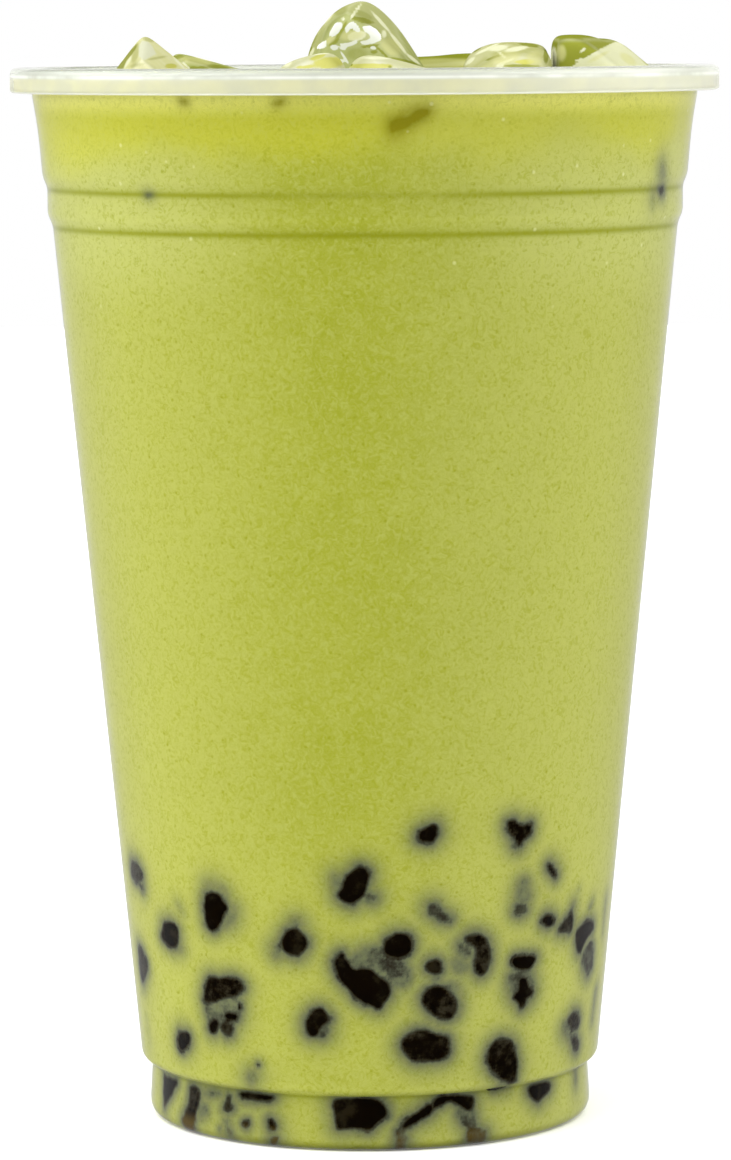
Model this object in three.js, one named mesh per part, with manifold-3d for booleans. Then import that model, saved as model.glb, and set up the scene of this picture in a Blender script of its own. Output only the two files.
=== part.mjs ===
// An iced matcha latte in a clear plastic cup, filled to just under the rim, with ice standing out of it.
// Millimetres, +Z up. The origin is the centre of the foot ring, on the table. The front faces -Y.

import * as THREE from 'three';
import { mergeVertices } from 'three/addons/utils/BufferGeometryUtils.js';
import Module from 'manifold-3d';

// Cup: overall sizes
const CUP_HEIGHT = 146.3;
const RIM_RADIUS = 49;
const WALL = 0.6;
const ROUND_SEGMENTS = 40;

// Cup: foot and base
const BASE_RECESS = 2;
const RECESS_RADIUS = 24.5;
const FOOT_RING_INNER = 25.7;
const FOOT_RADIUS = 31;
const FOOT_CORNER = 2.2;
const NECK_RADIUS = 30.6;
const NECK_HEIGHT = 7.6;

// Cup: the long taper from the shoulder up to the two stacking rings
const SHOULDER_RADIUS = 32.05;
const SHOULDER_HEIGHT = 8.3;
const SHOULDER_ROUND = 0.8;
const TAPER_TOP_RADIUS = 43.3;
const LOWER_RING_HEIGHT = 124.6;
const UPPER_RING_HEIGHT = 129.8;
const RING_RISE = 1.6;
const BAND_RADIUS = 44;
const COLLAR_RADIUS = 44.65;
const FLARE_RADIUS = 45.2;
const FLARE_HEIGHT = 137.8;

// Cup: the rolled rim, whose curl stays open on its underside
const RIM_HEIGHT = 3;
const RIM_OVERHANG = 2.95;
const LIP = 0.65;
const LIP_CORNER = 0.9;
const CURL_OPENING = 0.9;

// Drink and ice
const DRINK_LEVEL = 144.3;
const GAP = 0.3;
const ICE_SPLITS = 4;
const ICE_CLEARANCE = 0.45;

// Each piece of ice is a block with half sizes, turned in degrees and melted round its edges: a high
// sharpness keeps them crisp. A chip is a further face: the way it looks and its distance from the middle.
const ICE = [
  {
    name: 'ice_left', sharpness: 11,
    place: [-28.6, -4, 138.7], half: [8.3, 7.5, 8.3], turn: [12, 38, 0],
  },
  {
    name: 'ice_left_low', sharpness: 9,
    place: [-21, 13.5, 136.7], half: [8, 6.5, 10], turn: [0, 15, 8],
  },
  {
    name: 'ice_middle', sharpness: 12,
    place: [0.2, -1, 142.6], half: [10, 9, 12.3], turn: [6, -15, 0],
    chips: [
      { toward: [0.66, -0.15, 0.75], at: 8.5 },
      { toward: [-0.6, 0.05, 0.8], at: 12 },
      { toward: [-0.93, -0.05, 0.37], at: 9.8 },
    ],
  },
  {
    name: 'ice_front_left', sharpness: 4,
    place: [-7.5, -20.5, 138.9], half: [5.6, 5.6, 9.6], turn: [0, -12, 10],
  },
  {
    name: 'ice_front', sharpness: 7,
    place: [5.2, -31.2, 137.4], half: [6.6, 7.2, 8.2], turn: [-20, 14, 0],
  },
  {
    name: 'ice_back', sharpness: 9,
    place: [11, 19, 136.6], half: [8, 7, 11], turn: [0, -3, -12],
  },
  {
    name: 'ice_back_left', sharpness: 7,
    place: [-9, 29.5, 136.2], half: [7.5, 7, 9.2], turn: [5, 4, 25],
  },
  {
    name: 'ice_back_right', sharpness: 8,
    place: [30.5, 17.5, 135.8], half: [6.6, 7, 9.3], turn: [-5, -4, 32],
    chips: [{ toward: [0.3, 0.5, 0.8], at: 8.6 }],
  },
  {
    name: 'ice_right_flat', sharpness: 6,
    place: [19.3, -12, 140.3], half: [6.2, 8, 8.7], turn: [6, 2, 0],
    chips: [{ toward: [-0.72, -0.1, 0.69], at: 8.8 }],
  },
  {
    name: 'ice_right', sharpness: 11,
    place: [32.8, -7, 140.6], half: [6.7, 8, 9.3], turn: [0, 4, 0],
    chips: [{ toward: [0.62, -0.25, 0.75], at: 7.1 }],
  },
];

// Materials
const PLASTIC = new THREE.MeshStandardMaterial({
  color: '#eef0e6', roughness: 0.08, metalness: 0, transparent: true, opacity: 0.3,
});
const MATCHA = new THREE.MeshStandardMaterial({ color: '#bec35f', roughness: 0.35, metalness: 0 });
const CLEAR_ICE = new THREE.MeshStandardMaterial({
  color: '#e3e5bd', roughness: 0.1, metalness: 0, transparent: true, opacity: 0.5,
});

// A corner of a profile: radius, height, how far it is rounded, and the number of steps in that round.
const corner = (radius, height, round = 0, steps = 1) => ({
  point: new THREE.Vector2(radius, height), round, steps,
});

// Outside of the cup from the middle of the base, round the foot and up to the rim.
const UNDER_RIM_RADIUS = RIM_RADIUS - RIM_OVERHANG;
const UNDER_RIM_HEIGHT = CUP_HEIGHT - RIM_HEIGHT;
const outerWall = [
  corner(0, BASE_RECESS),
  corner(RECESS_RADIUS, BASE_RECESS),
  corner(FOOT_RING_INNER, 0),
  corner(FOOT_RADIUS, 0, FOOT_CORNER, 3),
  corner(NECK_RADIUS, NECK_HEIGHT),
  corner(SHOULDER_RADIUS, SHOULDER_HEIGHT, SHOULDER_ROUND, 1),
  corner(TAPER_TOP_RADIUS, LOWER_RING_HEIGHT),
  corner(BAND_RADIUS, LOWER_RING_HEIGHT + RING_RISE),
  corner(BAND_RADIUS, UPPER_RING_HEIGHT),
  corner(COLLAR_RADIUS, UPPER_RING_HEIGHT + RING_RISE),
  corner(FLARE_RADIUS, FLARE_HEIGHT),
  corner(UNDER_RIM_RADIUS, UNDER_RIM_HEIGHT),
  corner(UNDER_RIM_RADIUS, CUP_HEIGHT),
];

// The same wall moved towards the inside of the cup, with mitred corners.
function moveInward(corners, distance) {
  const inwardOf = (from, to) => {
    const along = to.clone().sub(from).normalize();
    return new THREE.Vector2(-along.y, along.x);
  };
  return corners.map(({ point, round, steps }, i) => {
    const before = i > 0 ? inwardOf(corners[i - 1].point, point) : null;
    const after = i < corners.length - 1 ? inwardOf(point, corners[i + 1].point) : null;
    const first = before ?? after;
    const second = after ?? before;
    const mitre = first.clone().add(second);
    mitre.multiplyScalar(distance / (1 + first.dot(second)));
    const moved = point.clone().add(mitre);
    return corner(i === 0 ? 0 : moved.x, moved.y, round, steps);
  });
}

// Points of a profile, with a quadratic curve at each rounded corner.
function profilePoints(corners) {
  return corners.flatMap(({ point, round, steps }, i) => {
    if (round === 0) return [point];
    const towards = (other) => {
      const step = other.clone().sub(point);
      return step.setLength(Math.min(round, step.length() / 2)).add(point);
    };
    const start = towards(corners[i - 1].point);
    const end = towards(corners[i + 1].point);
    return new THREE.QuadraticBezierCurve(start, point, end).getPoints(steps);
  });
}

// A closed solid turned round the Z axis from a profile that starts and ends on it.
function turned(corners) {
  const geometry = new THREE.LatheGeometry(profilePoints(corners), ROUND_SEGMENTS);
  geometry.rotateX(Math.PI / 2);
  return geometry;
}

// Cup: the wall, the curled lip and the inside of the wall make one closed profile.
function cupGeometry() {
  const innerWall = moveInward(outerWall, WALL);
  const curlTop = CUP_HEIGHT - LIP;
  const curlFloor = UNDER_RIM_HEIGHT + LIP;
  const skirtInside = RIM_RADIUS - LIP;
  const curlEnd = UNDER_RIM_RADIUS + CURL_OPENING;
  const lip = [
    corner(UNDER_RIM_RADIUS, curlTop),
    corner(skirtInside, curlTop, LIP / 2),
    corner(skirtInside, curlFloor),
    corner(curlEnd, curlFloor),
    corner(curlEnd, UNDER_RIM_HEIGHT),
    corner(RIM_RADIUS, UNDER_RIM_HEIGHT, LIP),
    corner(RIM_RADIUS, CUP_HEIGHT, LIP_CORNER, 3),
    corner(UNDER_RIM_RADIUS - WALL, CUP_HEIGHT, LIP_CORNER / 2),
  ];
  return turned([...outerWall.slice(0, -1), ...lip, ...innerWall.slice(0, -1).reverse()]);
}

// Drink before it is cut: it fills the cup up to its level, a hair clear of the wall.
function fullDrinkGeometry() {
  const side = moveInward(outerWall, WALL + GAP).slice(0, -1);
  const edge = corner(side[side.length - 1].point.x, DRINK_LEVEL);
  return turned([...side, edge, corner(0, DRINK_LEVEL)]);
}

// A piece of ice round its own middle. Each direction's reach is the smooth least of its faces' distances.
function iceGeometry({ half, turn, sharpness, chips = [] }, grow = 0) {
  const geometry = new THREE.BoxGeometry(2, 2, 2, ICE_SPLITS, ICE_SPLITS, ICE_SPLITS);
  const unturn = turnOf(turn).invert();
  const faces = chips.map(({ toward, at }) => ({
    normal: new THREE.Vector3(...toward).normalize().applyQuaternion(unturn), at,
  }));
  const position = geometry.attributes.position;
  const direction = new THREE.Vector3();
  for (let i = 0; i < position.count; i += 1) {
    direction.fromBufferAttribute(position, i).normalize();
    let pull = 0;
    direction.toArray().forEach((part, axis) => {
      pull += Math.abs(part / half[axis]) ** sharpness;
    });
    faces.forEach(({ normal, at }) => {
      pull += (Math.max(direction.dot(normal), 0) / at) ** sharpness;
    });
    direction.multiplyScalar(pull ** (-1 / sharpness) + grow);
    position.setXYZ(i, ...direction.toArray());
  }
  return geometry;
}

function turnOf(degrees) {
  const angles = degrees.map((angle) => THREE.MathUtils.degToRad(angle));
  return new THREE.Quaternion().setFromEuler(new THREE.Euler(...angles));
}

// Boolean cuts
const wasm = await Module();
wasm.setup();

function toSolid(geometry) {
  geometry.deleteAttribute('normal');
  geometry.deleteAttribute('uv');
  const merged = mergeVertices(geometry);
  const index = merged.index.array;
  const corners = [];
  for (let i = 0; i < index.length; i += 3) {
    const [a, b, c] = index.slice(i, i + 3);
    if (a !== b && b !== c && c !== a) corners.push(a, b, c);
  }
  return new wasm.Manifold(new wasm.Mesh({
    numProp: 3,
    vertProperties: Float32Array.from(merged.attributes.position.array),
    triVerts: Uint32Array.from(corners),
  }));
}

function toGeometry(solid) {
  const { vertProperties, triVerts } = solid.getMesh();
  const geometry = new THREE.BufferGeometry();
  geometry.setAttribute('position', new THREE.BufferAttribute(vertProperties, 3));
  geometry.setIndex(new THREE.BufferAttribute(triVerts, 1));
  geometry.computeVertexNormals();
  return geometry;
}

// Drink: cut round every piece of ice that stands in it.
function drinkGeometry() {
  let solid = toSolid(fullDrinkGeometry());
  ICE.forEach((piece) => {
    const room = iceGeometry(piece, ICE_CLEARANCE);
    room.applyQuaternion(turnOf(piece.turn));
    room.translate(...piece.place);
    solid = solid.subtract(toSolid(room));
  });
  return toGeometry(solid);
}

// The whole drink
const latte = new THREE.Group();

function addPiece(name, geometry, material) {
  const mesh = new THREE.Mesh(geometry, material);
  mesh.name = name;
  latte.add(mesh);
  return mesh;
}

addPiece('cup', cupGeometry(), PLASTIC);
addPiece('drink', drinkGeometry(), MATCHA);
ICE.forEach((piece) => {
  const block = addPiece(piece.name, iceGeometry(piece), CLEAR_ICE);
  block.position.set(...piece.place);
  block.quaternion.copy(turnOf(piece.turn));
});

export default latte;
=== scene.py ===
# %% [markdown]
# An iced matcha latte with tapioca pearls, in a clear plastic cup.
#
# The solids of the drink are already made to size. This lesson dresses them: a smooth clear cup, milk
# that turns grey where a pearl lies close behind the wall, melting ice and a bright room. Sizes are in
# millimetres until a mesh is made, and the front of the cup looks along -Y.

import math

import bmesh
import bpy
import numpy as np
from mathutils import Matrix, Vector
from mathutils.kdtree import KDTree


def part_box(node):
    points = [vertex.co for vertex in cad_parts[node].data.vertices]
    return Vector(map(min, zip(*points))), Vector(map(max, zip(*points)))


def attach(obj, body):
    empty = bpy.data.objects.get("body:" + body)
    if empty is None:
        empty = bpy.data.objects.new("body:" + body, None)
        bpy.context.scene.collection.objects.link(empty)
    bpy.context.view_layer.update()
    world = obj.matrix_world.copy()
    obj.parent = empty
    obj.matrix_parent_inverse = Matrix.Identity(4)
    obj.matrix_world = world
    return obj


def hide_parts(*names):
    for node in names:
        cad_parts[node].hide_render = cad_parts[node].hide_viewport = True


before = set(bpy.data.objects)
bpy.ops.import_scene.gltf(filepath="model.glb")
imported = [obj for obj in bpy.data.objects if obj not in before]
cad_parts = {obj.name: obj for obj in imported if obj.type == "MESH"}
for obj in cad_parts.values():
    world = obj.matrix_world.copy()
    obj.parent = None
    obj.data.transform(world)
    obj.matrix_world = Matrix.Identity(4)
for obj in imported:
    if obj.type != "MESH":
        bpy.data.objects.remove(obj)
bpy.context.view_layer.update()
MM = 0.001
scene = bpy.context.scene
RIM_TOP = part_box("cup")[1].z / MM
RIM_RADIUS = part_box("cup")[1].x / MM
DRINK_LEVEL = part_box("drink")[1].z / MM
dice = np.random.default_rng(11)
print(f"rim {RIM_TOP:.1f} mm up, {RIM_RADIUS:.1f} mm from the axis; drink up to {DRINK_LEVEL:.1f} mm")

# %% [markdown]
# The camera stands three quarters of a metre away, a little above the rim, with a long lens. That was
# found by fitting the ellipses of the rim, the rings and the foot. The photograph leans by a third of a
# degree, so the camera does too. A line of sight through a pixel lets us place a pearl where the
# photograph shows it.

# %% The camera
PHOTO_WIDTH, PHOTO_HEIGHT = 731, 1160
FOCAL_PIXELS = 5325
EYE = Vector((-0.25, -740.3, RIM_TOP + 4.76))
LOOK_DOWN = math.radians(5.883)
LEAN = math.radians(-0.32)
SENSOR_LENGTH = 36

lens = bpy.data.cameras.new("camera")
lens.sensor_width = SENSOR_LENGTH
lens.lens = SENSOR_LENGTH * FOCAL_PIXELS / PHOTO_HEIGHT
camera = bpy.data.objects.new("camera", lens)
tilt = Matrix.Rotation(math.pi / 2 - LOOK_DOWN, 4, "X") @ Matrix.Rotation(LEAN, 4, "Z")
camera.matrix_world = Matrix.Translation(EYE * MM) @ tilt
scene.collection.objects.link(camera)
scene.camera = camera


def line_of_sight(pixel_x, pixel_y):
    across = (pixel_x - PHOTO_WIDTH / 2) / FOCAL_PIXELS
    up = (PHOTO_HEIGHT / 2 - pixel_y) / FOCAL_PIXELS
    return np.array(tilt.to_3x3() @ Vector((across, up, -1)))


print(f"lens {lens.lens:.1f} mm, eye {EYE.y:.0f} mm in front of the axis")

# %% [markdown]
# The cup is one thin sheet of plastic, so one outline gives all of it: the outside of the wall, and the
# same line moved inward for the inside and for the drink. A corner is a radius, a height and how far it
# is rounded. Rounding matters here, because a bright line along each ring is how the eye finds clear
# plastic.

# %% The outline of the wall
WALL = 0.6
RIM_HEIGHT = 3.45
RIM_WIDTH = 2.95
UNDER_RIM = RIM_RADIUS - RIM_WIDTH
BASE_LIFT = 2
MOST_ROUNDING = 0.49
WALL_OUTLINE = [
    (0, BASE_LIFT, 0),
    (24.5, BASE_LIFT, 0.8),
    (25.7, 0, 0.6),
    (31, 0, 2.2),
    (30.6, 7.6, 0.5),
    (32.05, 8.3, 0.9),
    (43.3, 124.6, 0.7),
    (44, 126.2, 0.7),
    (44, 129.8, 0.6),
    (44.65, 131.4, 0.7),
    (45.2, 137.8, 3),
    (UNDER_RIM, RIM_TOP - RIM_HEIGHT, 0.8),
    (UNDER_RIM, RIM_TOP, 0),
]


def moved_inward(corners, distance):
    points = np.array([corner[:2] for corner in corners], float)
    along = np.diff(points, axis=0)
    along /= np.linalg.norm(along, axis=1)[:, None]
    inward = np.stack([-along[:, 1], along[:, 0]], axis=1)
    before = np.vstack([inward[:1], inward])
    after = np.vstack([inward, inward[-1:]])
    mitre = (before + after) / (1 + (before * after).sum(axis=1))[:, None]
    moved = points + mitre * distance
    moved[0, 0] = 0
    return [(*point, corner[2]) for point, corner in zip(moved, corners)]


def rounded(corners, steps=5):
    points = [np.array(corner[:2], float) for corner in corners]
    line = []
    for i, corner in enumerate(corners):
        if corner[2] == 0:
            line.append(points[i])
            continue
        ends = []
        for other in (points[i - 1], points[i + 1]):
            step = other - points[i]
            length = np.linalg.norm(step)
            ends.append(points[i] + step * min(corner[2] / length, MOST_ROUNDING))
        for t in np.linspace(0, 1, steps + 1):
            line.append(ends[0] * (1 - t) ** 2 + 2 * points[i] * t * (1 - t) + ends[1] * t ** 2)
    return np.array(line)


print(f"{len(WALL_OUTLINE)} corners, {len(rounded(WALL_OUTLINE))} points once rounded")

# %% [markdown]
# A round thing is turned: its outline is copied round the axis in many steps. Blender has a Screw
# modifier for this, but arrays are as short, and they let the steps be closer together where more is to
# be seen.

# %% Turn an outline into a mesh
CUP_SEGMENTS = 192
ON_AXIS = 1e-6


def new_piece(name, points, faces, sharp_angle=None):
    mesh = bpy.data.meshes.new(name)
    mesh.from_pydata([tuple(point) for point in np.asarray(points) * MM], [], faces)
    mesh.update()
    mesh.shade_smooth()
    if sharp_angle:
        mesh.set_sharp_from_angle(angle=math.radians(sharp_angle))
    piece = bpy.data.objects.new(name, mesh)
    scene.collection.objects.link(piece)
    return piece


def even_angles(segments):
    return np.linspace(0, 2 * math.pi, segments, endpoint=False)


def turned(outline, angles):
    segments = len(angles)
    points, rings, faces = [], [], []
    for radius, height in outline:
        count = segments if radius > ON_AXIS else 1
        rings.append(np.arange(len(points), len(points) + count))
        for angle in angles[:count]:
            points.append((radius * math.cos(angle), radius * math.sin(angle), height))
    for low, high in zip(rings, rings[1:]):
        low_next, high_next = np.roll(low, -1), np.roll(high, -1)
        for i in range(segments):
            if len(low) == 1:
                faces.append((low[0], high_next[i], high[i]))
            elif len(high) == 1:
                faces.append((low[i], low_next[i], high[0]))
            else:
                faces.append((low[i], low_next[i], high_next[i], high[i]))
    return points, faces


print(f"a step round the cup is {360 / CUP_SEGMENTS:.2f} degrees")

# %% [markdown]
# The rim is rolled outward and back under, as on a real thin cup, so it is hollow and shows several
# bright lines. Wall, curl and inside make one closed outline that starts and ends on the axis.

# %% The cup
LIP = 0.65
CURL_GAP = 0.9
CREASE_ANGLE = 50
curl_floor = RIM_TOP - RIM_HEIGHT
curl_end = UNDER_RIM + CURL_GAP
curl = [
    (UNDER_RIM, RIM_TOP - LIP, 0.3),
    (RIM_RADIUS - LIP, RIM_TOP - LIP, 0.4),
    (RIM_RADIUS - LIP, curl_floor + LIP, 0.25),
    (curl_end, curl_floor + LIP, 0.2),
    (curl_end, curl_floor, 0.2),
    (RIM_RADIUS, curl_floor, 0.6),
    (RIM_RADIUS, RIM_TOP, 0.95),
    (UNDER_RIM - WALL, RIM_TOP, 0.55),
]
inside = moved_inward(WALL_OUTLINE, WALL)
cup_outline = rounded(WALL_OUTLINE[:-1] + curl + inside[-2::-1])
cup = new_piece("clear_cup", *turned(cup_outline, even_angles(CUP_SEGMENTS)), sharp_angle=CREASE_ANGLE)
print(f"cup: {len(cup.data.polygons)} faces")

# %% [markdown]
# Every piece of ice has its own marks: tints of milk, painted highlights, painted shade and windows
# painted as pale as the bright room. This list holds those of the front, as the photograph shows them. A
# round mark is the pixel of its middle, half its length, half its width and its slant in degrees. A mark
# with corners is the list of their pixels.

# %% Where the ice is marked
ICE_MARKS = {
    "ice_middle": {
        "window": [
            [(329, 35), (330, 32), (335, 24), (339, 22), (342.5, 23), (342, 27), (338, 33), (334, 36.5),
             (330, 36.5)],
            [(316.5, 48), (319, 45), (322.5, 42), (326, 40.5), (326, 47), (321, 48.5)],
            [(345, 29), (346, 27), (349, 23), (352.5, 21.5), (356, 24), (360, 29), (359, 32), (355, 31),
             (353, 28.5), (350, 28.5), (348, 31.5), (346, 32.5)],
            [(362, 26.5), (370, 26), (376, 29.5), (381, 35), (380.5, 40), (375, 43), (366, 44.5),
             (361, 44), (360.5, 41.5), (366, 40.5), (371, 37.5), (368, 33.5), (364, 30)],
            [(340.5, 44), (347.5, 43), (357, 40), (356.5, 43), (347, 47), (344, 50), (341, 49)],
            (334.5, 47.3, 4, 2.6, 0), (373, 47.8, 3, 1.8, 0), (345, 58, 8, 1.3, -55), (341, 61, 4, 2, 0),
        ],
        "pale": [
            (356, 11, 10, 1.5, 54), (381, 22, 14, 1.6, -48), (398, 43, 15, 1.7, -52),
            (413, 59, 9, 1.5, -38), (384, 34, 2.5, 4, 0), (343, 19, 2, 2, 0), (357, 36, 9, 5, 10),
            (328, 18, 8, 2, 48), (312, 52, 5, 1.5, 65),
        ],
        "dark": [
            (340, 33, 15, 1.8, 60), (334, 42, 6, 2.4, 40), (362, 20, 12, 2.6, -15), (352, 30, 1.6, 1.6, 0),
            (370, 46, 10, 1.5, 8), (382, 52, 9, 1.5, -42), (404, 61, 15, 1.6, -14), (374, 52, 4, 2, 0),
            (310, 50, 4, 2, 65),
        ],
        "shade": [
            (341, 11, 7, 3.5, 25), (357, 54, 10, 6, 0), (364, 15, 10, 3, -25), (313, 42, 8, 1.6, 62),
        ],
        "cream": [(391, 47, 11, 7, -40), (352, 35, 12, 5, 10), (330, 40, 6, 3, 30)],
    },
    "ice_front_left": {
        "yellow": [(329, 63, 15, 6, 8), (318, 57, 9, 2, 20), (305, 67, 10, 1.8, 5)],
        "pale": [(321, 53, 12, 1.6, 5), (288, 63, 5, 3, 45)],
    },
    "ice_front": {
        "yellow": [(370, 66, 24, 2.6, 0)],
        "dark": [(390, 67, 2, 1.5, 0), (350, 64, 3, 1.5, -30)],
        "pale": [(378, 58, 14, 1.5, 0)],
    },
    "ice_left": {
        "dark": [(121.5, 65.5, 7, 3.2, 52), (129, 55, 14, 1.8, 53)],
        "shade": [
            (135.5, 54, 10, 3.2, 75), (149, 39, 6, 3, -10), (157, 58, 10, 1.3, 10), (137, 65, 8, 1.6, 10),
        ],
        "facet_highlight": [
            [(142, 41), (139, 46), (139, 56), (144, 60), (150, 57), (156, 54), (152, 46), (148, 42)],
        ],
        "pale": [(128, 62, 7, 1.5, 58), (180, 64, 9, 1.2, -45)],
        "yellow": [(171, 66, 6, 2.4, 0)],
    },
    "ice_left_low": {
        "dark": [(178, 57, 6, 1.8, 5), (195, 68, 12, 2.2, 0), (218, 67, 12, 2.2, -8)],
        "pale": [(186, 66, 6, 1.6, -42), (205, 59, 12, 1.2, -14)],
        "cream": [(196, 61, 16, 3.5, -10)],
    },
    "ice_back": {
        "dark": [(450, 56, 20, 2, 0)],
        "cream": [(445, 63, 34, 4.5, 0)],
    },
    "ice_right_flat": {
        "dark": [
            (529, 45, 10, 1.8, -8), (546, 56, 2.5, 8, 0), (520, 66, 20, 1.8, 0), (478, 48, 8, 1.8, 35),
            (495, 57, 10, 1.2, 20),
        ],
        "pale": [
            (502, 55, 5, 1.3, -40), (500, 66, 5, 3, 30), (516, 49, 12, 2.4, 10), (487, 49, 14, 1.4, 25),
            (505, 62, 9, 1.2, 20), (470, 61, 6, 2, 40), (498, 48, 10, 3, 8),
        ],
        "cream": [(535, 58, 8, 7, 0), (505, 58, 14, 6, 10)],
        "yellow": [(525, 62, 10, 2.5, 0)],
    },
    "ice_right": {
        "pale": [
            [(570, 68), (578, 63), (586, 57.5), (601, 49), (615, 42), (619, 42), (634, 53), (650, 68)],
            (583, 50, 4, 1.6, 40), (579, 60, 5, 1.6, 15), (554, 58, 3, 11, 0),
        ],
        "cream": [(561, 53, 5, 8, 0), (628, 59, 9, 4, -35), (598, 57, 12, 2, 28)],
        "yellow": [(610, 65, 18, 1.2, 3)],
    },
}
print(f"{len(ICE_MARKS)} pieces of ice are marked")

# %% [markdown]
# The pieces of ice stand for the blocks of the frame. They are finer, and their edges and chips follow the
# photograph more closely, so a face can lie up to four millimetres from the frame's. A line gives the
# place of a block's middle, half its sides, its turn in degrees, how sharp its edges are and the chips
# that are broken off it: which way each chip looks, and how far it lies from the middle.

# %% The blocks of ice
ICE_BLOCKS = {
    "ice_left": ((-29.1, -4, 138), (8.6, 7.5, 8.2), (12, 40, 0), 14.5, [((-0.95, 0, 0.29), 8.3)]),
    "ice_left_low": ((-21.2, 13.5, 136.5), (8.3, 6.5, 9.9), (0, 15, 8), 14, []),
    "ice_middle": (
        (-0.3, -1, 142.6), (9, 9, 13.5), (6, -30, 0), 8.8,
        [((0.62, -0.15, 0.78), 10), ((-0.58, 0.05, 0.81), 11.5), ((-0.97, -0.05, 0.22), 8.2)],
    ),
    "ice_front_left": ((-6.6, -20.5, 138.9), (5.2, 5.6, 9.1), (0, -11, 10), 4.7, [((-0.9, 0, 0.43), 9)]),
    "ice_front": ((3.9, -31.2, 138.2), (7.9, 7.2, 7.9), (-20, 15, 0), 5, []),
    "ice_back": ((11, 19, 136.6), (8, 7, 11), (0, -3, -12), 6, []),
    "ice_back_left": ((-9, 29.5, 136.2), (7.5, 7, 9.2), (5, 4, 25), 5, []),
    "ice_back_right": ((30.5, 17.5, 135.8), (6.6, 7, 9.3), (-5, -4, 32), 5, [((0.3, 0.5, 0.8), 8.6)]),
    "ice_right_flat": ((18.8, -12, 139.7), (6.1, 8, 9.6), (6, 4, 0), 7.4, [((-0.63, -0.1, 0.77), 9.1)]),
    "ice_right": ((33.3, -7, 139.9), (7.6, 8, 10.2), (0, 1, 0), 14, [((0.61, -0.2, 0.79), 7.4)]),
}
print(f"{len(ICE_BLOCKS)} blocks of ice")

# %% [markdown]
# Ice melts from its corners inward, so the edges of a block are rounded by a power sum: the higher the
# sharpness, the crisper the edge. A chip is one more face in that sum. The directions come from a cube
# with a grid on each side, because a globe would pinch its points together at the poles.

# %% Melt a block
SIDES = 3
RIDGE_POWER = 6


def block_grid(splits):
    template = bmesh.new()
    bmesh.ops.create_cube(template, size=2)
    bmesh.ops.subdivide_edges(template, edges=template.edges, cuts=splits - 1, use_grid_fill=True)
    directions = np.array([vertex.co for vertex in template.verts])
    faces = [[vertex.index for vertex in face.verts] for face in template.faces]
    template.free()
    return directions / np.linalg.norm(directions, axis=1)[:, None], faces


def turn_of(degrees):
    x, y, z = (math.radians(angle) for angle in degrees)
    turn = Matrix.Rotation(x, 3, "X") @ Matrix.Rotation(y, 3, "Y") @ Matrix.Rotation(z, 3, "Z")
    return np.array(turn)


def melted(directions, half, turn, sharpness, chips):
    pulls = list((np.abs(directions / np.array(half)) ** sharpness).T)
    for toward, distance in chips:
        normal = turn_of(turn).T @ np.array(toward) / np.linalg.norm(toward)
        pulls.append((np.maximum(directions @ normal, 0) / distance) ** sharpness)
    pulls = np.array(pulls)
    strongest = np.sort(pulls, axis=0)
    ridge = (strongest[-2] / strongest[-1]) ** (RIDGE_POWER / sharpness)
    chipped = pulls[SIDES:].sum(axis=0) / pulls.sum(axis=0)
    return pulls.sum(axis=0) ** (-1 / sharpness), ridge, chipped


corner = np.full((1, SIDES), 1 / math.sqrt(SIDES))
for sharpness in (5, 14):
    reach, _, _ = melted(corner, (1, 1, 1), (0, 0, 0), sharpness, [])
    print(f"sharpness {sharpness}: a corner {math.sqrt(SIDES):.2f} out melts to {reach[0]:.2f}")

# %% [markdown]
# Slow waves over the surface make the ice look melted. Each point stores how near it is to an edge and to
# a chip, which the finish needs. A coarse copy of each piece is kept for the hole that it leaves in the
# milk, which nobody sees.

# %% The ice
ICE_SPLITS, ICE_SPLITS_SEEN, HOLE_SPLITS = 36, 64, 16
ICE_WAVE = 0.012


def store(piece, name, values):
    layer = piece.data.attributes.new(name, "FLOAT", "POINT")
    layer.data.foreach_set("value", np.asarray(values, np.float32))


def waves(directions, count=7, pitch=4):
    total = np.zeros(len(directions))
    for _ in range(count):
        total += np.sin(directions @ dice.normal(size=3) * pitch + dice.uniform(0, 2 * math.pi))
    return total / math.sqrt(count)


grids = {splits: block_grid(splits) for splits in (ICE_SPLITS, ICE_SPLITS_SEEN, HOLE_SPLITS)}
hole_directions, hole_faces = grids[HOLE_SPLITS]
ice_shapes, ice_holes, ice_pieces = {}, {}, {}
for node, (place, half, turn, sharpness, chips) in ICE_BLOCKS.items():
    directions, faces = grids[ICE_SPLITS_SEEN if node in ICE_MARKS else ICE_SPLITS]
    count = len(directions)
    directions = np.vstack([directions, hole_directions])
    reach, ridge, chipped = melted(directions, half, turn, sharpness, chips)
    reach = reach * (1 + ICE_WAVE * waves(directions))
    points = (directions * reach[:, None]) @ turn_of(turn).T + np.array(place)
    ice_shapes[node], ice_holes[node] = points[:count], points[count:]
    ice_pieces[node] = new_piece("melting_" + node, ice_shapes[node], faces)
    store(ice_pieces[node], "ridge", ridge[:count])
    store(ice_pieces[node], "chipped", chipped[:count])
print(f"{len(ice_pieces)} pieces of ice, up to {6 * ICE_SPLITS_SEEN ** 2} faces each")

# %% [markdown]
# The marks are stored on the points of the ice, so they stay where they are from any side. A clear window
# shows on the far side too. The others lie on the face that looks forward. The faces that look up and to
# the
# sides face the lamps, so each point also stores how far it faces them, and the finish paints them darker:
# painted shade against the lamps' light.

# %% Mark the ice
MARK_KINDS = ("window", "pale", "dark", "yellow", "shade", "cream", "facet_highlight")
SOFT_PIXELS = 2.0
CORNER_REACH = 0.65
ROUND_REACH, ROUND_SOFT = 1.35, 0.7
FORWARD_SOFT = 0.3
LAMP_FACING_WEIGHT = 0.8
NOT_LEVEL = 1e-9


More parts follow.
